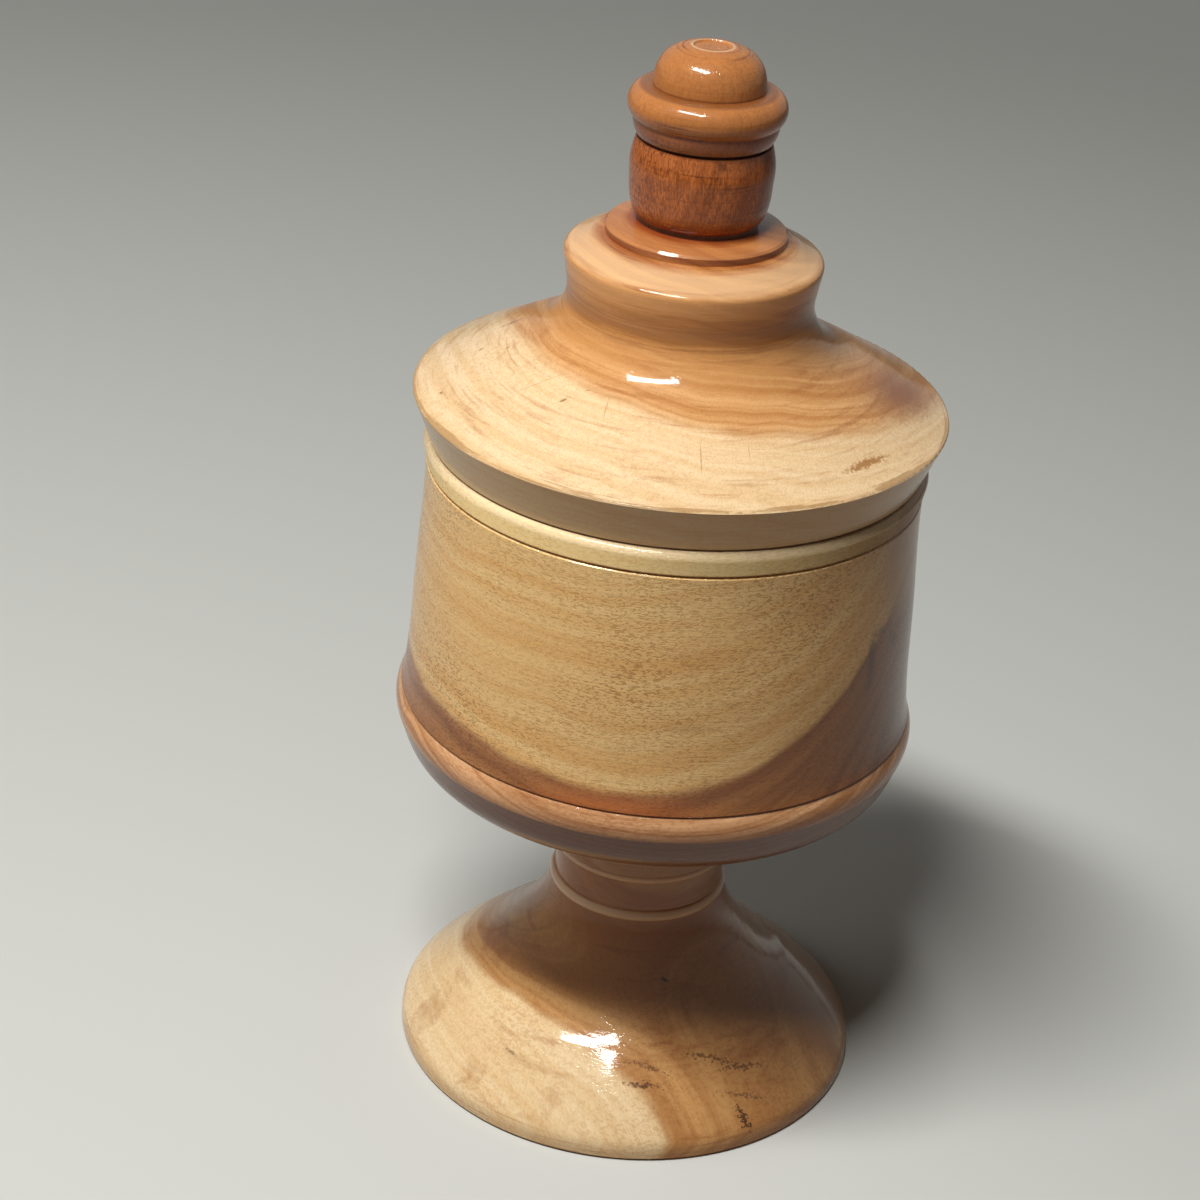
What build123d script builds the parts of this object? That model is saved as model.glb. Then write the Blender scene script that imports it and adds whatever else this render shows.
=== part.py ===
from build123d import *
import os

# A turned wooden urn with a lift-off lid: foot, bowl base, bowl, lid and knob.
# Every piece is a body of revolution about Z. Radii are measured from that axis,
# and each piece's rises from its own seat. All sizes are in millimetres.

# Foot: a flared pedestal that narrows into a stem
foot_radius = 64.0
foot_edge_height = 2.2
foot_edge_chamfer = 0.8
foot_roll_in = 2.3
foot_roll_rise = 5.0
foot_ogee_radius = 50.6
foot_ogee_height = 17.6
foot_cove_radius = 33.2
foot_cove_height = 33.6
foot_ring_radius = 45.4
foot_ring_height = 21.9
foot_height = 50.4
foot_hollow_radius = 50.0
foot_hollow_depth = 3.0
stem_radius = 23.3
stem_shoulder_width = 1.0
stem_shoulder_rise = 2.8
stem_waist_height = 9.0
stem_collar_width = 0.8
stem_collar_rise = 2.2
stem_bead_width = 1.2
stem_flare_height = 24.0
stem_top_radius = 34.0

# Bowl: the tall hollowed wall, slightly waisted, with a grooved band at its mouth.
# Each width is the wall's thickness there, outside the cavity.
cavity_radius = 59.0
bowl_height = 72.6
bowl_joint_width = 9.4
bowl_flare_width = 8.3
bowl_flare_rise = 7.0
bowl_belly_width = 7.05
bowl_belly_rise = 32.0
bowl_neck_width = 5.5
band_width = 6.4
band_height = 6.6
band_round = 2.4
band_groove_width = 1.0
band_groove_depth = 0.6
mouth_chamfer = 0.5

# Bowl base: the dish that closes the bowl, with the lower bead on its edge.
# Each inset is measured in from the bead.
base_height = 22.8
base_flat_inset = 23.2
base_belly_inset = 11.2
base_belly_rise = 2.4
base_edge_inset = 3.8
base_edge_rise = 7.4
bead_width = 10.2
bead_rise = 16.2
bead_bulge = 0.4
base_floor_thickness = 12.0
base_dish_round = 8.0
joint_chamfer = 0.5

# Lid: overhanging rim, ogee top, flared collar and a low disc under the knob
lid_seat_width = 5.1
lid_seat_chamfer = 0.4
lid_rim_overhang = 4.7
lid_rim_rise = 12.2
lid_rim_round = 0.6
lid_slope_radius = 48.0
lid_slope_rise = 23.6
lid_cove_radius = 35.6
lid_cove_rise = 31.3
collar_foot_radius = 31.6
collar_foot_rise = 38.6
collar_radius = 32.7
collar_edge_rise = 50.4
collar_edge_round = 2.6
collar_top_rise = 56.4
disc_radius = 22.9
disc_edge_height = 2.3
disc_edge_round = 0.6
disc_crown = 1.5
spigot_clearance = 0.5
spigot_depth = 8.0
spigot_chamfer = 0.8
spigot_wall = 8.5
lid_hollow_rise = 12.0
lid_hollow_round = 14.0

# Knob: a barrel on a waisted foot, then a step, a ring bead and a dome
knob_foot_radius = 15.3
knob_foot_rise = 1.2
barrel_base_radius = 17.2
barrel_base_rise = 4.4
barrel_radius = 17.95
barrel_swell_rise = 11.5
barrel_top_radius = 16.9
barrel_height = 21.0
knob_groove_radius = 15.4
knob_groove_width = 0.9
step_base_radius = 17.0
step_radius = 18.2
step_height = 4.3
ring_bead_radius = 19.75
ring_bead_height = 8.0
ring_bead_inner_radius = 14.6
dome_radius = 14.0
dome_height = 10.2
spot_radius = 4.9
spot_depth = 0.4
knob_tenon_radius = 6.0
knob_tenon_length = 11.0

# Joints between glued pieces
tenon_radius = 12.0
tenon_length = 7.0
glue_gap = 0.1

# Heights of the seats, each standing on the piece below it
shoulder_height = foot_height + stem_shoulder_rise
waist_top_height = shoulder_height + stem_waist_height
stem_collar_height = waist_top_height + stem_collar_rise
stem_height = stem_collar_height + stem_flare_height
joint_height = stem_height + base_height
floor_height = stem_height + base_floor_thickness
seat_height = joint_height + bowl_height
collar_top_height = seat_height + collar_top_rise
disc_height = collar_top_height + disc_edge_height
knob_seat_height = disc_height + disc_crown

# Radii that stand outside the cavity's wall, or inside the bead
bowl_joint_radius = cavity_radius + bowl_joint_width
bowl_flare_radius = cavity_radius + bowl_flare_width
bowl_belly_radius = cavity_radius + bowl_belly_width
bowl_neck_radius = cavity_radius + bowl_neck_width
band_radius = cavity_radius + band_width
bead_radius = cavity_radius + bead_width
base_edge_radius = bead_radius - base_edge_inset
base_belly_radius = bead_radius - base_belly_inset
base_flat_radius = bead_radius - base_flat_inset
lid_seat_radius = cavity_radius + lid_seat_width
lid_rim_radius = lid_seat_radius + lid_rim_overhang


# Foot, its underside hollowed so that only the rim stands on the table. Two small beads
# bound the stem's waist, and a soft ring parts the cove from the apron below it.
tenon_top_height = stem_height + tenon_length
with BuildPart() as foot:
    with BuildSketch(Plane.XZ):
        with BuildLine():
            Polyline(
                (0, foot_hollow_depth),
                (0, tenon_top_height),
                (tenon_radius, tenon_top_height),
                (tenon_radius, stem_height),
                (stem_top_radius, stem_height),
            )
            Spline(
                (stem_top_radius, stem_height),
                (stem_radius + stem_collar_width, stem_collar_height),
                tangents=[(-1, -1), (0, -1)],
            )
            ThreePointArc(
                (stem_radius + stem_collar_width, stem_collar_height),
                (stem_radius + stem_bead_width, waist_top_height + stem_collar_rise / 2),
                (stem_radius, waist_top_height),
            )
            Line((stem_radius, waist_top_height), (stem_radius, shoulder_height))
            ThreePointArc(
                (stem_radius, shoulder_height),
                (stem_radius + stem_bead_width, foot_height + stem_shoulder_rise / 2),
                (stem_radius + stem_shoulder_width, foot_height),
            )
            Spline(
                (stem_radius + stem_shoulder_width, foot_height),
                (foot_cove_radius, foot_cove_height),
                (foot_ring_radius, foot_ring_height),
                tangents=[(0.2, -1), (1, -0.68)],
            )
            Spline(
                (foot_ring_radius, foot_ring_height),
                (foot_ogee_radius, foot_ogee_height),
                (foot_radius - foot_roll_in, foot_edge_height + foot_roll_rise),
                (foot_radius, foot_edge_height),
                tangents=[(1, -0.82), (0, -1)],
            )
            Polyline(
                (foot_radius, foot_edge_height),
                (foot_radius, foot_edge_chamfer),
                (foot_radius - foot_edge_chamfer, 0),
                (foot_hollow_radius, 0),
                (0, foot_hollow_depth),
            )
        make_face()
    revolve(axis=Axis.Z)
foot.part.label = "foot"


# Bowl base, with a socket for the stem's tenon and half of the joint groove
bead_height = joint_height - joint_chamfer - stem_height - bead_rise
with BuildPart() as bowl_base:
    with BuildSketch(Plane.XZ):
        with BuildLine():
            Line((0, stem_height), (base_flat_radius, stem_height))
            Spline(
                (base_flat_radius, stem_height),
                (base_belly_radius, stem_height + base_belly_rise),
                (base_edge_radius, stem_height + base_edge_rise),
                (bead_radius, stem_height + bead_rise),
                tangents=[(1, 0), (0.4, 1)],
            )
            ThreePointArc(
                (bead_radius, stem_height + bead_rise),
                (bead_radius + bead_bulge, stem_height + bead_rise + 0.4 * bead_height),
                (bowl_joint_radius, joint_height - joint_chamfer),
            )
            Polyline(
                (bowl_joint_radius, joint_height - joint_chamfer),
                (bowl_joint_radius - joint_chamfer, joint_height),
                (0, joint_height),
                (0, stem_height),
            )
        make_face()
    revolve(axis=Axis.Z)
    with BuildSketch(Plane.XY.offset(floor_height)):
        Circle(cavity_radius)
    extrude(amount=joint_height - floor_height, mode=Mode.SUBTRACT)
    fillet(bowl_base.edges().filter_by(GeomType.CIRCLE).filter_by(
        lambda edge: abs(edge.center().Z - floor_height) < 0.01), base_dish_round)
    with BuildSketch(Plane.XY.offset(stem_height)):
        Circle(tenon_radius + glue_gap)
    extrude(amount=tenon_length + glue_gap, mode=Mode.SUBTRACT)
bowl_base.part.label = "bowl_base"


# Bowl wall, glued on the base at the lower groove line
band_base_height = seat_height - band_height
groove_middle_height = band_base_height - band_groove_width / 2
groove_base_height = band_base_height - band_groove_width
with BuildPart() as bowl:
    with BuildSketch(Plane.XZ):
        with BuildLine():
            Polyline(
                (bowl_joint_radius - joint_chamfer, joint_height),
                (cavity_radius, joint_height),
                (cavity_radius, seat_height - mouth_chamfer),
                (cavity_radius + mouth_chamfer, seat_height),
                (band_radius - band_round, seat_height),
            )
            RadiusArc(
                (band_radius - band_round, seat_height),
                (band_radius, seat_height - band_round),
                band_round,
            )
            Polyline(
                (band_radius, seat_height - band_round),
                (bowl_neck_radius, band_base_height),
                (bowl_neck_radius - band_groove_depth, groove_middle_height),
                (bowl_neck_radius, groove_base_height),
            )
            Spline(
                (bowl_neck_radius, groove_base_height),
                (bowl_belly_radius, joint_height + bowl_belly_rise),
                (bowl_flare_radius, joint_height + bowl_flare_rise),
                (bowl_joint_radius, joint_height + joint_chamfer),
                tangents=[(0, -1), (0.35, -1)],
            )
            Line(
                (bowl_joint_radius, joint_height + joint_chamfer),
                (bowl_joint_radius - joint_chamfer, joint_height),
            )
        make_face()
    revolve(axis=Axis.Z)
bowl.part.label = "bowl"


# Lid, turned from one block with its collar and the disc that carries the knob
spigot_radius = cavity_radius - spigot_clearance
lid_hollow_radius = spigot_radius - spigot_wall
with BuildPart() as lid:
    with BuildSketch(Plane.XZ):
        with BuildLine():
            Polyline(
                (0, seat_height - spigot_depth),
                (spigot_radius - spigot_chamfer, seat_height - spigot_depth),
                (spigot_radius, seat_height - spigot_depth + spigot_chamfer),
                (spigot_radius, seat_height),
                (lid_seat_radius - lid_seat_chamfer, seat_height),
                (lid_seat_radius, seat_height + lid_seat_chamfer),
                (lid_rim_radius, seat_height + lid_rim_rise),
            )
            RadiusArc(
                (lid_rim_radius, seat_height + lid_rim_rise),
                (lid_rim_radius - lid_rim_round, seat_height + lid_rim_rise + lid_rim_round),
                -lid_rim_round,
            )
            Spline(
                (lid_rim_radius - lid_rim_round, seat_height + lid_rim_rise + lid_rim_round),
                (lid_slope_radius, seat_height + lid_slope_rise),
                (lid_cove_radius, seat_height + lid_cove_rise),
                (collar_foot_radius, seat_height + collar_foot_rise),
                (collar_radius, seat_height + collar_edge_rise),
                tangents=[(-1, 0.5), (0.12, 1)],
            )
            Spline(
                (collar_radius, seat_height + collar_edge_rise),
                (collar_radius - collar_edge_round, seat_height + collar_edge_rise + collar_edge_round),
                (disc_radius, collar_top_height),
                tangents=[(0.12, 1), (-1, 0.15)],
            )
            Polyline(
                (disc_radius, collar_top_height),
                (disc_radius, disc_height - disc_edge_round),
                (disc_radius - disc_edge_round, disc_height),
                (knob_foot_radius, knob_seat_height),
                (0, knob_seat_height),
                (0, seat_height - spigot_depth),
            )
        make_face()
    revolve(axis=Axis.Z)
    with BuildSketch(Plane.XY.offset(seat_height - spigot_depth)):
        Circle(lid_hollow_radius)
    extrude(amount=spigot_depth + lid_hollow_rise, mode=Mode.SUBTRACT)
    fillet(lid.edges().filter_by(GeomType.CIRCLE).filter_by(
        lambda edge: abs(edge.center().Z - seat_height - lid_hollow_rise) < 0.01
        and abs(edge.radius - lid_hollow_radius) < 0.01), lid_hollow_round)
    with BuildSketch(Plane.XY.offset(knob_seat_height)):
        Circle(knob_tenon_radius + glue_gap)
    extrude(amount=-knob_tenon_length - glue_gap, mode=Mode.SUBTRACT)
lid.part.label = "lid"


# Knob, turned from darker wood
barrel_top_height = knob_seat_height + barrel_height
step_base_height = barrel_top_height + knob_groove_width
step_top_height = step_base_height + step_height
ring_bead_top_height = step_top_height + ring_bead_height
dome_top_height = ring_bead_top_height + dome_height
spot_height = dome_top_height - spot_depth
with BuildPart() as knob:
    with BuildSketch(Plane.XZ):
        with BuildLine():
            Polyline(
                (0, knob_seat_height - knob_tenon_length),
                (knob_tenon_radius, knob_seat_height - knob_tenon_length),
                (knob_tenon_radius, knob_seat_height),
                (knob_foot_radius, knob_seat_height),
                (knob_foot_radius, knob_seat_height + knob_foot_rise),
            )
            Spline(
                (knob_foot_radius, knob_seat_height + knob_foot_rise),
                (barrel_base_radius, knob_seat_height + barrel_base_rise),
                (barrel_radius, knob_seat_height + barrel_swell_rise),
                (barrel_top_radius, barrel_top_height),
                tangents=[(1, 0.7), (-0.3, 1)],
            )
            Polyline(
                (barrel_top_radius, barrel_top_height),
                (knob_groove_radius, barrel_top_height),
                (knob_groove_radius, step_base_height),
                (step_base_radius, step_base_height),
            )
            Spline(
                (step_base_radius, step_base_height),
                (step_radius, step_top_height),
                tangents=[(0.6, 1), (0, 1)],
            )
            ThreePointArc(
                (step_radius, step_top_height),
                (ring_bead_radius, step_top_height + ring_bead_height * 0.42),
                (ring_bead_inner_radius, ring_bead_top_height),
            )
            Line((ring_bead_inner_radius, ring_bead_top_height), (dome_radius, ring_bead_top_height))
            Spline(
                (dome_radius, ring_bead_top_height),
                (spot_radius, dome_top_height),
                tangents=[(0, 1), (-1, 0.1)],
            )
            Polyline(
                (spot_radius, dome_top_height),
                (spot_radius - spot_depth, spot_height),
                (0, spot_height),
                (0, knob_seat_height - knob_tenon_length),
            )
        make_face()
    revolve(axis=Axis.Z)
knob.part.label = "knob"


os.makedirs("parts", exist_ok=True)
export_step(foot.part, "parts/foot.step")
export_step(bowl_base.part, "parts/bowl_base.step")
export_step(bowl.part, "parts/bowl.step")
export_step(lid.part, "parts/lid.step")
export_step(knob.part, "parts/knob.step")
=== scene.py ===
import math
import bpy
from mathutils import Matrix, Vector

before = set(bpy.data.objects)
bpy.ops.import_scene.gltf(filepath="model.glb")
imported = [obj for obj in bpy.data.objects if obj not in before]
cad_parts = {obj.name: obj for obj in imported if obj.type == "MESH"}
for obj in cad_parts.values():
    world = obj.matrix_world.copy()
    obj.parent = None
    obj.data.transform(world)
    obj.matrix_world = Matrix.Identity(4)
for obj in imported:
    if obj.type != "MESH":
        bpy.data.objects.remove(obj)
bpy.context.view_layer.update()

for loaded in bpy.context.selected_objects:
    loaded.select_set(False)
print("frame loaded:", sorted(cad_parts))


# colours are written as they are seen, and Blender works in linear light
def linear(hexColour):
    parts = [int(hexColour[i:i + 2], 16) / 255 for i in (1, 3, 5)]
    return tuple(p / 12.92 if p <= 0.04045 else ((p + 0.055) / 1.055) ** 2.4 for p in parts) + (1.0,)


# adds one node: each input is a number, a colour, a socket, or a node whose live output feeds it
def addNode(tree, kind, inputs={}, **settings):
    node = tree.nodes.new("ShaderNode" + kind)
    for key, value in settings.items():
        setattr(node, key, value)
    for key, value in inputs.items():
        if isinstance(value, bpy.types.Node):
            value = next(socket for socket in value.outputs if socket.enabled)
        if isinstance(value, bpy.types.NodeSocket):
            tree.links.new(value, node.inputs[key])
        else:
            node.inputs[key].default_value = value
    return node


# Hardwood turned on a lathe, sanded along the turn and brushed with clear gloss lacquer.
# The log lies across the piece, so its growth rings cut the turned form in long bows:
# pale sapwood outside heartRadius, brown heartwood inside. All lengths are in mm.
def turnedWood(name, wood):
    material = bpy.data.materials.new(name)
    material.use_nodes = True
    tree = material.node_tree
    tree.nodes.clear()

    def add(kind, inputs={}, **settings):
        return addNode(tree, kind, inputs, **settings)

    place = add("TexCoord").outputs["Object"]
    mm = add("VectorMath", {0: place, "Scale": 1000.0}, operation="SCALE")
    split = add("SeparateXYZ", {0: mm})
    height = split.outputs["Z"]
    radius = add("VectorMath", {0: add("VectorMath", {0: mm, 1: (1, 1, 0)}, operation="MULTIPLY")},
                 operation="LENGTH")

    # the log's own frame, its length along X, with rings that wander a little
    turn = Vector(wood["logAxis"]).to_track_quat("X", "Z").to_euler()
    inLog = add("Mapping", {"Vector": mm, "Location": wood["pith"], "Rotation": turn},
                vector_type="TEXTURE")
    slow = add("VectorMath", {0: inLog, 1: (0.008, 0.02, 0.02)}, operation="MULTIPLY")
    slow = add("TexNoise", {"Vector": slow, "Scale": 1.0, "Detail": 2.0}).outputs["Color"]
    bow = add("VectorMath", {0: slow, 1: (0.5, 0.5, 0.5)}, operation="SUBTRACT")
    bow = add("VectorMath", {0: bow, 1: (0, wood["wander"], wood["wander"])}, operation="MULTIPLY")
    bent = add("VectorMath", {0: inLog, 1: bow}, operation="ADD")
    across = add("VectorMath", {0: bent, 1: (0, 1, 1)}, operation="MULTIPLY")
    fromPith = add("VectorMath", {0: across}, operation="LENGTH")
    fromPithTrue = add("VectorMath", {0: inLog, 1: (0, 1, 1)}, operation="MULTIPLY")
    fromPithTrue = add("VectorMath", {0: fromPithTrue}, operation="LENGTH")
    along = add("SeparateXYZ", {0: bent}).outputs["X"]

    # growth rings, each about ringWidth wide and changing over 16 cm of the log
    ringAt = add("CombineXYZ", {"X": add("Math", {0: fromPith, 1: wood["ringWidth"]}, operation="DIVIDE"),
                                "Y": add("Math", {0: along, 1: 160.0}, operation="DIVIDE")})
    rings = add("TexNoise", {"Vector": ringAt, "Scale": 1.0, "Detail": 3.0, "Roughness": 0.6})
    ringMix = add("MapRange", {"Value": rings, "From Min": 0.36, "From Max": 0.64},
                  interpolation_type="SMOOTHSTEP")

    # where heart turns to sap, with an edge that wobbles by a millimetre or two
    wobble = add("TexNoise", {"Vector": mm, "Scale": 0.07, "Detail": 4.0})
    wobble = add("Math", {0: wobble, 1: 0.5}, operation="SUBTRACT")
    wobble = add("Math", {0: wobble, 1: wood["edgeWobble"]}, operation="MULTIPLY")
    side = add("Math", {0: fromPithTrue, 1: wood["heartRadius"]}, operation="SUBTRACT")
    side = add("Math", {0: side, 1: wobble}, operation="ADD")
    sap = add("MapRange", {"Value": side, "From Min": -wood["edgeWidth"], "From Max": wood["edgeWidth"]},
              interpolation_type="SMOOTHSTEP")
    deep = add("MapRange", {"Value": side, "From Min": wood["deepFrom"], "From Max": wood["deepFull"]},
               interpolation_type="SMOOTHSTEP")
    sapColour = add("Mix", {0: ringMix, 6: linear(wood["sapLate"]), 7: linear(wood["sapEarly"])},
                    data_type="RGBA")
    heartColour = add("Mix", {0: ringMix, 6: linear(wood["heartLate"]), 7: linear(wood["heartEarly"])},
                      data_type="RGBA")
    deepColour = add("Mix", {0: ringMix, 6: linear(wood["deepLate"]), 7: linear(wood["deepEarly"])},
                     data_type="RGBA")
    heartColour = add("Mix", {0: deep, 6: heartColour, 7: deepColour}, data_type="RGBA")
    colour = add("Mix", {0: sap, 6: heartColour, 7: sapColour}, data_type="RGBA")

    # fibres along the log
    alongLog, acrossLog = wood["fibreSize"]
    fibreAt = add("VectorMath", {0: inLog, 1: (1 / alongLog, 1 / acrossLog, 1 / acrossLog)},
                  operation="MULTIPLY")
    fibre = add("TexNoise", {"Vector": fibreAt, "Scale": 1.0, "Detail": 3.0, "Roughness": 0.7})
    fibreMix = add("MapRange", {"Value": fibre, "From Min": 0.38, "From Max": 0.72, "To Max": wood["fibre"]})
    colour = add("Mix", {0: fibreMix, 6: colour, 7: linear(wood["fibreColour"])}, data_type="RGBA",
                 blend_type="MULTIPLY")

    # sanding streaks that run round the piece, under 1 mm apart and about 2 cm long
    upAndOut = add("Math", {0: radius, 1: height}, operation="ADD")
    upAndOut = add("Math", {0: upAndOut, 1: 1.5}, operation="MULTIPLY")
    aroundX = add("Math", {0: split.outputs["X"], 1: 0.045}, operation="MULTIPLY")
    aroundY = add("Math", {0: split.outputs["Y"], 1: 0.045}, operation="MULTIPLY")
    streakAt = add("CombineXYZ", {"X": upAndOut, "Y": aroundX, "Z": aroundY})
    streak = add("TexNoise", {"Vector": streakAt, "Scale": 1.0, "Detail": 4.0, "Roughness": 0.6})
    streakMix = add("MapRange", {"Value": streak, "From Min": 0.54, "From Max": 0.68,
                                 "To Max": wood["streaks"]})
    colour = add("Mix", {0: streakMix, 6: colour, 7: linear(wood["streakColour"])}, data_type="RGBA",
                 blend_type="MULTIPLY")

    # worm-like pores where the knife cuts the fibres across, bolder in some patches than in others
    alongPore, acrossPore = wood["poreSize"]
    poreAt = add("VectorMath", {0: mm, 1: (1 / alongPore, 1 / alongPore, 1 / acrossPore)},
                 operation="MULTIPLY")
    pore = add("TexNoise", {"Vector": poreAt, "Scale": 1.0, "Detail": 1.0, "Roughness": 0.5,
                            "Distortion": 0.8})
    patch = add("TexNoise", {"Vector": mm, "Scale": 0.03, "Detail": 2.0})
    patch = add("MapRange", {"Value": patch, "From Min": 0.35, "From Max": 0.65, "To Min": 0.35})
    poreMix = add("MapRange", {"Value": pore, "From Min": 0.5, "From Max": 0.62, "To Max": wood["pores"]},
                  interpolation_type="SMOOTHSTEP")
    poreMix = add("Math", {0: poreMix, 1: patch}, operation="MULTIPLY")
    colour = add("Mix", {0: poreMix, 6: colour, 7: linear(wood["poreColour"])}, data_type="RGBA",
                 blend_type="MULTIPLY")

    # bands round the piece: height, how far they reach, and how ragged they are
    streakSwing = add("Math", {0: streak, 1: 0.5}, operation="SUBTRACT")
    for band in wood.get("bands", []):
        ragged = add("Math", {0: streakSwing, 1: band.get("rag", 0.0)}, operation="MULTIPLY")
        reach = add("Math", {0: height, 1: band["height"]}, operation="SUBTRACT")
        reach = add("Math", {0: reach}, operation="ABSOLUTE")
        reach = add("Math", {0: reach, 1: ragged}, operation="ADD")
        amount = add("MapRange", {"Value": reach, "From Min": band["core"], "From Max": band["reach"],
                                  "To Min": band["strength"], "To Max": 0.0},
                     interpolation_type="SMOOTHSTEP")
        colour = add("Mix", {0: amount, 6: colour, 7: linear(band["colour"])}, data_type="RGBA",
                     blend_type=band.get("blend", "MIX"))

    # single marks: where, along what, half its length, width and depth, frayed at about a millimetre
    grit = add("TexNoise", {"Vector": mm, "Scale": 1.1, "Detail": 3.0, "Roughness": 0.65})
    gritSwing = add("Math", {0: grit, 1: 0.5}, operation="SUBTRACT")
    for mark in wood.get("marks", []):
        lie = Vector(mark["along"]).to_track_quat("X", "Z").to_euler()
        local = add("Mapping", {"Vector": mm, "Location": mark["at"], "Rotation": lie,
                                "Scale": mark["half"]}, vector_type="TEXTURE")
        reach = add("VectorMath", {0: local}, operation="LENGTH")
        frayed = add("Math", {0: gritSwing, 1: mark.get("rag", 0.3)}, operation="MULTIPLY")
        reach = add("Math", {0: reach, 1: frayed}, operation="ADD")
        amount = add("MapRange", {"Value": reach, "From Min": mark.get("core", 0.2), "From Max": 1.0,
                                  "To Min": mark["strength"], "To Max": 0.0},
                     interpolation_type="SMOOTHSTEP")
        colour = add("Mix", {0: amount, 6: colour, 7: linear(mark["colour"])}, data_type="RGBA",
                     blend_type=mark.get("blend", "MIX"))

    # the lacquer follows the sanding streaks and pores, a few hundredths of a millimetre deep
    relief = add("Math", {0: streak, 1: wood["streakRelief"]}, operation="MULTIPLY")
    poreDepth = add("Math", {0: poreMix, 1: wood["poreRelief"]}, operation="MULTIPLY")
    relief = add("Math", {0: relief, 1: poreDepth}, operation="SUBTRACT")
    # the shading alone leans between two heights, by this slope, so that an undercut catches more light
    if "lean" in wood:
        low, high, slope = wood["lean"]
        lean = add("MapRange", {"Value": height, "From Min": low, "From Max": high,
                                "To Max": slope * (high - low)})
        relief = add("Math", {0: relief, 1: lean}, operation="ADD")
    bump = add("Bump", {"Height": relief, "Strength": 1.0, "Distance": 0.001})
    shader = add("BsdfPrincipled", {
        "Base Color": colour, "Normal": bump, "Coat Normal": bump, "Roughness": 0.45, "IOR": 1.5,
        "Specular IOR Level": 0.1, "Coat Weight": 0.7, "Coat Roughness": 0.07, "Coat IOR": 1.5})
    add("OutputMaterial", {"Surface": shader})
    return material


def dress(nodeName, material):
    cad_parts[nodeName].material_slots[0].material = material
    print("dressed", nodeName)


# the pale pieces are cut from one species, so they share these
paleWood = {
    "wander": 12.0, "ringWidth": 3.4, "edgeWobble": 3.5, "edgeWidth": 1.2,
    "deepFrom": -8.0, "deepFull": -26.0,
    "fibreSize": (12.0, 0.35), "fibre": 0.4, "fibreColour": "#C9A37A",
    "streaks": 0.3, "streakColour": "#B9854C",
    "poreSize": (1.7, 0.75), "pores": 0.3, "poreColour": "#B48440",
    "streakRelief": 0.07, "poreRelief": 0.04,
}

# foot: a column of light brown heart leans through pale sapwood, with a few dark knots
footWood = dict(
    paleWood, logAxis=(-0.491, 0.509, 0.707), pith=(8.3, -7.2, 10.9), heartRadius=42.5,
    sapEarly="#FAE0B2", sapLate="#F0CF9A", heartEarly="#D8A566", heartLate="#BA8248",
    deepEarly="#C28A4C", deepLate="#A66E3A", pores=0.25, streaks=0.45,
    bands=[
        {"height": 80.0, "core": 30.0, "reach": 40.0, "strength": 0.6, "rag": 6.0, "colour": "#A86A38"},
        # painted reflection: the two pale bands on the waist's beads, bright though the waist lies in shade
        {"height": 51.8, "core": 0.9, "reach": 1.6, "strength": 0.85, "colour": "#FFE2C0"},
        {"height": 63.3, "core": 0.7, "reach": 1.4, "strength": 0.8, "colour": "#FFE2C0"},
    ],
    marks=[
        {"at": (52.0, 14.0, 14.0), "along": (0, 1, 0), "half": (44.0, 22.0, 30.0), "colour": "#B27A44",
         "strength": 0.9, "core": 0.5},
        {"at": (34.6, -50.4, 7.7), "along": (0.3, -0.2, -1), "half": (3.6, 1.4, 2.6), "colour": "#54300F",
         "strength": 0.95, "core": 0.4, "rag": 6.0},
        {"at": (8.1, -51.3, 16.3), "along": (1, 0, 0), "half": (2.6, 0.6, 1.5), "colour": "#5E3415",
         "strength": 0.85, "core": 0.4, "rag": 7.0},
        {"at": (5.2, -51.9, 16.1), "along": (1, 0, 0), "half": (3.0, 0.5, 1.5), "colour": "#5E3415",
         "strength": 0.8, "core": 0.4, "rag": 7.0},
        {"at": (10.2, -29.8, 35.9), "along": (0, 0, 1), "half": (1.2, 0.5, 1.5), "colour": "#24160E",
         "strength": 0.9, "rag": 3.0},
        {"at": (7.6, -47.7, 19.4), "along": (0.97, -0.1, -0.2), "half": (5.0, 0.6, 1.5), "colour": "#6B4220",
         "strength": 0.75, "core": 0.4, "rag": 7.0},
        {"at": (24.3, -41.3, 19.8), "along": (0.95, 0.19, -0.26), "half": (7.5, 0.7, 1.5),
         "colour": "#643C1A", "strength": 0.8, "core": 0.4, "rag": 7.0},
        {"at": (32.8, -39.8, 16.6), "along": (0.86, 0.49, -0.16), "half": (7.5, 0.7, 1.5),
         "colour": "#643C1A", "strength": 0.8, "core": 0.4, "rag": 7.0},
        {"at": (34.8, -45.5, 11.0), "along": (0.91, 0.33, -0.26), "half": (6.5, 0.6, 1.5),
         "colour": "#6A4526", "strength": 0.75, "core": 0.4, "rag": 7.0},
        {"at": (-29.7, -42.7, 16.2), "along": (0.76, -0.64, -0.09), "half": (3.0, 0.5, 1.5),
         "colour": "#7A552F", "strength": 0.7, "rag": 1.5},
    ],
)
# the dish below the joint: brown heart all through, with rings that lie flat
baseWood = dict(
    paleWood, logAxis=(1.0, 0.15, 0.04), pith=(0.0, 10.0, -70.0), heartRadius=400.0, ringWidth=1.7,
    sapEarly="#DDA66E", sapLate="#CB9059", heartEarly="#DBA36B", heartLate="#C58A54",
    deepEarly="#EAB888", deepLate="#BE8452", pores=0.35, streaks=0.4,
    # the band at 92 mm is painted shade: it darkens the underside below the bead
    bands=[{"height": 92.0, "core": 12.2, "reach": 13.0, "strength": 0.8, "rag": 0.6, "colour": "#5C2A10"}],
)
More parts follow.
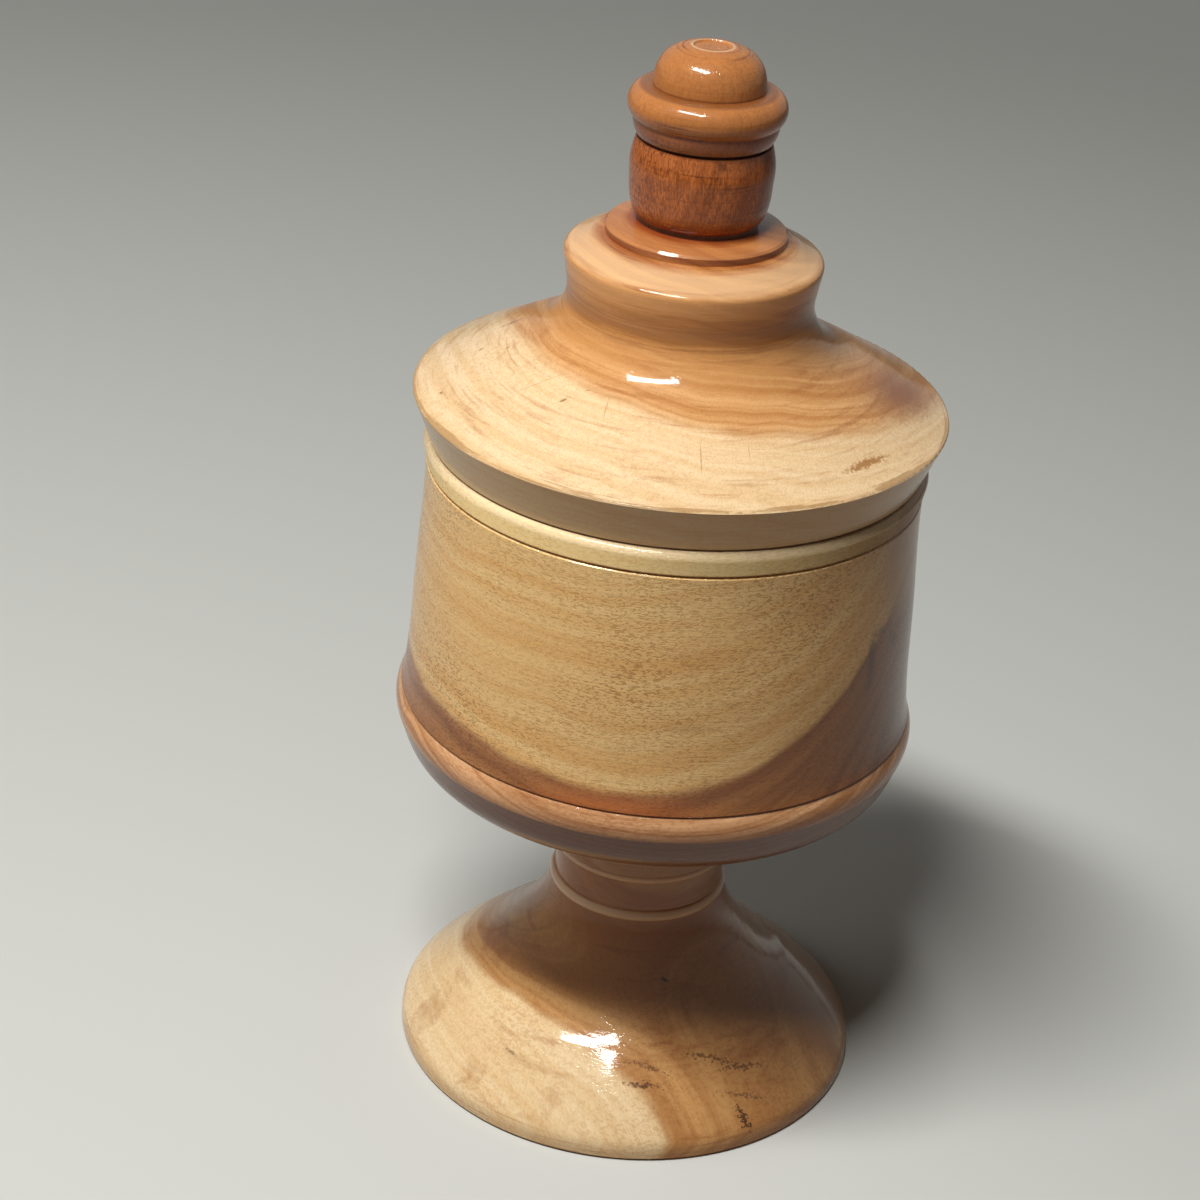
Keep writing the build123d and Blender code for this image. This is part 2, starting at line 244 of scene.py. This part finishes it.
# bowl wall: golden sapwood cut across its fibres, brown heart rising at both sides. The band blended
# by SCREEN is paler than its wood, to make up for light from below that the floor doesn't throw.
bowlWood = dict(
    paleWood, logAxis=(0.745, 0.464, 0.479), pith=(-4.97, 7.98, 15.8), heartRadius=125.3, edgeWobble=2.5,
    ringWidth=4.5, sapEarly="#FFDA98", sapLate="#F4C47C", heartEarly="#B27A48", heartLate="#966036",
    deepEarly="#A26A3C", deepLate="#86522C", pores=0.62, poreSize=(1.2, 0.5),
    poreColour="#AC9250", poreRelief=0.07, streaks=0.1, lean=(177.2, 181.4, -0.42),
    bands=[
        {"height": 111.2, "core": 0.2, "reach": 0.9, "strength": 0.8, "colour": "#5A2412"},
        {"height": 179.8, "core": 2.0, "reach": 2.7, "strength": 1.0,
         "colour": "#E0A468", "blend": "SCREEN"},
        # painted highlight: the pale cream strip along the mouth's rounded top edge
        {"height": 182.9, "core": 0.5, "reach": 1.9, "strength": 0.6, "colour": "#FFEEC6"},
        {"height": 177.0, "core": 0.1, "reach": 0.6, "strength": 0.6, "colour": "#7A4A22"},
        # painted shade: the dark red line in the seam where the lid sits on the mouth
        {"height": 184.0, "core": 0.1, "reach": 0.5, "strength": 0.9, "colour": "#5A1410"},
    ],
    marks=[
        # painted reflection: the orange glow on the wall just above the joint, where the bead mirrors in the
        # lacquer
        {"at": (-8.0, -67.0, 113.0), "along": (1, 0, 0), "half": (34.0, 20.0, 6.0), "colour": "#C46A30",
         "strength": 0.55, "core": 0.0},
        {"at": (10.4, -64.7, 155.1), "along": (1, 0.1, 0.1), "half": (14.0, 12.0, 7.0), "colour": "#D9A25C",
         "strength": 0.2, "core": 0.0, "blend": "MULTIPLY"},
        {"at": (38.6, -52.3, 165.3), "along": (1, 0.6, 0.1), "half": (10.0, 12.0, 6.0), "colour": "#D9A25C",
         "strength": 0.2, "core": 0.0, "blend": "MULTIPLY"},
        {"at": (9.7, -65.7, 135.9), "along": (1, 0.1, 0), "half": (9.0, 6.0, 2.4), "colour": "#B98A4E",
         "strength": 0.45, "core": 0.0, "rag": 2.0},
        {"at": (63.0, -22.0, 171.0), "along": (0.0, 0.0, 1.0), "half": (23.0, 24.0, 12.0),
         "colour": "#D9A870", "strength": 0.8, "core": 0.6, "rag": 0.3},
        {"at": (54.2, -38.0, 144.0), "along": (0.0, 0.05, 1.0), "half": (12.0, 2.8, 2.8),
         "colour": "#5E3A1E", "strength": 0.8, "core": 0.2, "rag": 1.2},
        {"at": (56.2, -34.2, 151.5), "along": (0.65, 0.75, 0.1), "half": (4.5, 2.0, 1.8),
         "colour": "#6E4626", "strength": 0.75, "core": 0.1, "rag": 0.8},
        {"at": (59.4, -28.6, 146.4), "along": (0.25, 0.4, -0.9), "half": (6.0, 2.0, 2.2),
         "colour": "#6E4626", "strength": 0.8, "core": 0.1, "rag": 0.8},
    ],
)
# lid: cream sapwood to the front, tan heart round the collar, darkest at the right. The band blended
# by SCREEN, on the side below the rim, is there for the same reason as the bowl's.
lidWood = dict(
    paleWood, logAxis=(0.02, -0.957, 0.292), pith=(22.1, 0.5, 337.7), heartRadius=138.6, edgeWidth=2.5,
    ringWidth=2.8, sapEarly="#F8DCB0", sapLate="#EECC9A", heartEarly="#E6B276", heartLate="#C4884A",
    deepEarly="#CE9252", deepLate="#A86632", pores=0.15, streaks=0.4,
    bands=[
        {"height": 189.5, "core": 6.0, "reach": 7.2, "strength": 1.0, "rag": 2.0, "colour": "#C08C58",
         "blend": "SCREEN"},
        # painted shade: the dark red line in the seam where the lid sits on the bowl
        {"height": 183.9, "core": 0.2, "reach": 0.7, "strength": 0.9, "colour": "#5A1410"},
        {"height": 196.5, "core": 0.0, "reach": 0.5, "strength": 0.6, "rag": 4.0, "colour": "#9A6A2C"},
        {"height": 222.0, "core": 4.0, "reach": 11.0, "strength": 0.5, "rag": 10.0, "colour": "#DC9E5C"},
        {"height": 224.5, "core": 0.5, "reach": 5.5, "strength": 0.6, "rag": 14.0, "colour": "#8A5226"},
        {"height": 233.0, "core": 1.5, "reach": 4.0, "strength": 0.6, "rag": 5.0, "colour": "#F4B878"},
        {"height": 237.6, "core": 0.8, "reach": 2.8, "strength": 0.6, "rag": 2.0, "colour": "#F2CA9A"},
        {"height": 245.5, "core": 4.6, "reach": 6.4, "strength": 0.5, "rag": 7.0, "colour": "#D08A54",
         "blend": "MULTIPLY"},
        {"height": 242.7, "core": 0.4, "reach": 1.1, "strength": 0.35, "rag": 1.0, "colour": "#D89A62"},
        # painted shade: the dark ring round the knob's foot, where the disc meets the barrel
        {"height": 244.2, "core": 0.1, "reach": 0.9, "strength": 0.85, "colour": "#8A3A1A"},
    ],
    marks=[
        {"at": (55.2, -2.0, 203.0), "along": (0.38, 0.91, -0.16), "half": (26.0, 12.0, 14.0),
         "colour": "#8A5232", "strength": 0.85, "core": 0.1, "rag": 0.5},
        {"at": (46.3, -40.4, 200.1), "along": (0.67, 0.74, -0.01), "half": (9.5, 1.3, 3.0),
         "colour": "#A46C2C", "strength": 0.85, "core": 0.4, "rag": 2.2},
        {"at": (-45.0, 8.9, 208.7), "along": (0.84, 0.26, 0.47), "half": (4.2, 1.1, 2.0),
         "colour": "#7D6240", "strength": 0.8, "rag": 2.0},
        {"at": (-17.8, -41.5, 209.2), "along": (-0.11, -0.86, -0.5), "half": (5.0, 0.22, 2.0),
         "colour": "#B48448", "strength": 0.7, "rag": 0.5},
        {"at": (6.1, -54.6, 203.7), "along": (0.11, -0.88, -0.47), "half": (6.5, 0.22, 2.0),
         "colour": "#B48448", "strength": 0.7, "rag": 0.5},
        {"at": (17.4, -50.1, 204.7), "along": (0.16, -0.87, -0.47), "half": (3.0, 0.2, 2.0),
         "colour": "#C09050", "strength": 0.6, "rag": 0.5},
        {"at": (-28.5, -37.0, 208.2), "along": (0.8, 0.3, 0.4), "half": (1.6, 0.6, 1.5), "colour": "#7A5A34",
         "strength": 0.8},
        {"at": (-59.9, -19.4, 199.4), "along": (0.3, -0.9, 0), "half": (1.0, 0.6, 1.5), "colour": "#8A6434",
         "strength": 0.8},
        {"at": (-23.0, -35.2, 211.1), "along": (1, 0, 0.2), "half": (1.2, 0.4, 1.5), "colour": "#8A6434",
         "strength": 0.8},
        {"at": (-51.7, -3.7, 205.3), "along": (0.8, 0.3, 0.4), "half": (1.4, 0.6, 1.5), "colour": "#7A5A34",
         "strength": 0.8},
        {"at": (-44.8, -8.6, 208.9), "along": (0.8, 0.3, 0.4), "half": (1.0, 0.5, 1.5), "colour": "#7A5A34",
         "strength": 0.8},
        {"at": (-46.8, -12.3, 207.4), "along": (0.72, 0.5, 0.47), "half": (6.0, 0.25, 2.0),
         "colour": "#C49A60", "strength": 0.7, "rag": 0.5},
        {"at": (-34.2, -28.9, 209.5), "along": (0.87, 0.18, 0.46), "half": (9.0, 0.25, 2.0),
         "colour": "#C49A60", "strength": 0.6, "rag": 0.5},
    ],
)
# knob: darker, redder wood with its grain upright, so the barrel shows short upright pores
knobWood = dict(
    paleWood, logAxis=(0.05, 0.1, 1.0), pith=(30.0, 25.0, 265.0), heartRadius=300.0,
    sapEarly="#BC6C36", sapLate="#985022", heartEarly="#CC783A", heartLate="#AE6028",
    deepEarly="#CC783A", deepLate="#AE6028", fibreSize=(2.2, 0.32), fibre=0.75, fibreColour="#84481F",
    pores=0.6, poreColour="#7A3E1C", poreSize=(0.7, 1.8), streaks=0.55, streakColour="#84502C",
    bands=[
        # painted shade: the dark line in the step under the ring bead
        {"height": 265.4, "core": 0.2, "reach": 1.0, "strength": 0.6, "colour": "#4A2212"},
        # painted shade: the dark ring at the barrel's foot, where it meets the lid
        {"height": 244.3, "core": 0.4, "reach": 1.6, "strength": 0.8, "colour": "#3A160C"},
        {"height": 280.0, "core": 8.0, "reach": 11.0, "strength": 0.6, "rag": 14.0, "colour": "#C08044"},
        {"height": 268.6, "core": 0.4, "reach": 3.0, "strength": 0.5, "rag": 12.0, "colour": "#8A4E28"},
        # painted shade: the dark line in the crease round the dome's base
        {"height": 278.2, "core": 0.1, "reach": 0.7, "strength": 0.6, "colour": "#5A2A12"},
        # painted reflection: the light ring round the flat spot on top of the dome
        {"height": 288.4, "core": 0.03, "reach": 0.12, "strength": 0.5, "colour": "#F0CFA4"},
    ],
    marks=[
        {"at": (-12.1, -13.2, 255.1), "along": (0, 0, 1), "half": (6.0, 2.5, 4.0), "colour": "#6E3A1E",
         "strength": 0.5, "rag": 4.0},
        {"at": (4.8, -16.4, 263.4), "along": (0, 0, 1), "half": (1.8, 1.2, 2.0), "colour": "#5A2C16",
         "strength": 0.7, "rag": 2.0},
    ],
)

dress("foot", turnedWood("footSapAndHeartwoodLacquered", footWood))
dress("bowl_base", turnedWood("baseHeartwoodLacquered", baseWood))
dress("bowl", turnedWood("bowlSapwoodLacquered", bowlWood))
dress("lid", turnedWood("lidSapAndHeartwoodLacquered", lidWood))
dress("knob", turnedWood("knobRedwoodLacquered", knobWood))


# plain pale floor, wide enough to fill the view: metres, and colours as seen
floorLook = {"size": 16.0, "seen": "#D6D8D4", "thrown": "#775D40", "roughness": 0.8,
             "far": "#A6A8A6", "fadeFrom": 0.9, "fadeTo": 2.4}
bpy.ops.mesh.primitive_plane_add(size=floorLook["size"], location=(0, 0, 0))
floor = bpy.context.active_object
floor.name = "floor"
floorPaint = bpy.data.materials.new("floorMattePaint")
floorPaint.use_nodes = True
floorTree = floorPaint.node_tree
floorTree.nodes.clear()
# the camera and the lacquer see it pale, but the light it throws back is browner and weaker
floorRays = addNode(floorTree, "LightPath")
floorSeen = addNode(floorTree, "Math", {0: floorRays.outputs["Is Camera Ray"],
                                        1: floorRays.outputs["Is Glossy Ray"]}, operation="MAXIMUM")
floorSeen = addNode(floorTree, "Math", {0: floorSeen, 1: floorRays.outputs["Is Transmission Ray"]},
                    operation="MAXIMUM")
floorColour = addNode(floorTree, "Mix", {0: floorSeen, 6: linear(floorLook["thrown"]),
                                         7: linear(floorLook["seen"])}, data_type="RGBA")
floorShader = addNode(floorTree, "BsdfPrincipled", {
    "Base Color": floorColour, "Roughness": floorLook["roughness"]})
# far off, where the lamps no longer reach, the camera sees it melt into the room
floorAway = addNode(floorTree, "TexCoord").outputs["Object"]
floorAway = addNode(floorTree, "VectorMath", {0: floorAway}, operation="LENGTH")
floorFade = addNode(floorTree, "MapRange", {"Value": floorAway, "From Min": floorLook["fadeFrom"],
                                            "From Max": floorLook["fadeTo"]},
                    interpolation_type="SMOOTHSTEP")
floorFade = addNode(floorTree, "Math", {0: floorFade, 1: floorRays.outputs["Is Camera Ray"]},
                    operation="MULTIPLY")
floorFar = addNode(floorTree, "Emission", {"Color": linear(floorLook["far"]), "Strength": 1.0})
floorShader = addNode(floorTree, "MixShader", {0: floorFade, 1: floorShader, 2: floorFar})
addNode(floorTree, "OutputMaterial", {"Surface": floorShader})
floor.data.materials.append(floorPaint)

# soft room light; the camera and the lacquer see a pale room
roomLight = {"fill": "#F2DEC8", "fillStrength": 0.032, "seen": "#A6A8A6", "seenStrength": 1.0}
world = bpy.data.worlds.new("paleRoom")
bpy.context.scene.world = world
world.use_nodes = True
roomTree = world.node_tree
roomTree.nodes.clear()
rays = addNode(roomTree, "LightPath")
seenBy = addNode(roomTree, "Math", {0: rays.outputs["Is Camera Ray"], 1: rays.outputs["Is Glossy Ray"]},
                 operation="MAXIMUM")
seenBy = addNode(roomTree, "Math", {0: seenBy, 1: rays.outputs["Is Transmission Ray"]},
                 operation="MAXIMUM")
fill = addNode(roomTree, "Background", {"Color": linear(roomLight["fill"]),
                                        "Strength": roomLight["fillStrength"]})
seen = addNode(roomTree, "Background", {"Color": linear(roomLight["seen"]),
                                        "Strength": roomLight["seenStrength"]})
air = addNode(roomTree, "MixShader", {0: seenBy, 1: fill, 2: seen})
addNode(roomTree, "OutputWorld", {"Surface": air})

# a wide panel lamp, high and to the left of the camera, and a dim soft box far to the left that the
# lacquer doesn't reflect: metres, degrees from the camera's side, and watts
lamps = {
    "panelLamp": {"turn": -35.0, "lift": 64.0, "away": 1.2, "wide": 0.6, "tall": 0.14, "watts": 15.8,
                  "reflected": True},
    "softBox": {"turn": -88.0, "lift": 28.0, "away": 1.4, "wide": 0.9, "tall": 0.7, "watts": 3.4,
                "reflected": False},
}
lampColour = (1.0, 0.985, 0.96)
middle = Vector((0, 0, 0.15))  # the lamps face a point half way up the bowl
for lampName, place in lamps.items():
    turn, lift = math.radians(place["turn"]), math.radians(place["lift"])
    toward = Vector((math.sin(turn) * math.cos(lift), -math.cos(turn) * math.cos(lift), math.sin(lift)))
    lampData = bpy.data.lights.new(lampName, "AREA")
    lampData.shape = "RECTANGLE"
    lampData.size = place["wide"]
    lampData.size_y = place["tall"]
    lampData.energy = place["watts"]
    lampData.color = lampColour
    lamp = bpy.data.objects.new(lampName, lampData)
    lamp.visible_glossy = place["reflected"]
    bpy.context.collection.objects.link(lamp)
    lamp.matrix_world = Matrix.Translation(middle + toward * place["away"]) @ \
        toward.to_track_quat("Z", "Y").to_matrix().to_4x4()
print("floor, room and lamps ready")

# the camera stands where the photograph was taken from: metres, degrees, and a lens in mm
cameraView = {"back": 0.6678, "up": 0.4843, "yaw": -1.42, "pitch": 27.60, "roll": 4.60, "lens": 84.84}
yaw, pitch, roll = (math.radians(cameraView[key]) for key in ("yaw", "pitch", "roll"))
ahead = Vector((math.sin(yaw) * math.cos(pitch), math.cos(yaw) * math.cos(pitch), -math.sin(pitch)))
level = Vector((math.cos(yaw), -math.sin(yaw), 0))
upright = level.cross(ahead)
rightward = math.cos(roll) * level + math.sin(roll) * upright
upward = -math.sin(roll) * level + math.cos(roll) * upright
cameraData = bpy.data.cameras.new("camera")
cameraData.lens = cameraView["lens"]
cameraData.sensor_width = 36
camera = bpy.data.objects.new("camera", cameraData)
bpy.context.collection.objects.link(camera)
axes = Matrix((rightward, upward, -ahead)).transposed().to_4x4()
camera.matrix_world = Matrix.Translation((0, -cameraView["back"], cameraView["up"])) @ axes
bpy.context.scene.camera = camera
bpy.context.scene.view_settings.view_transform = "Standard"
print("camera placed")
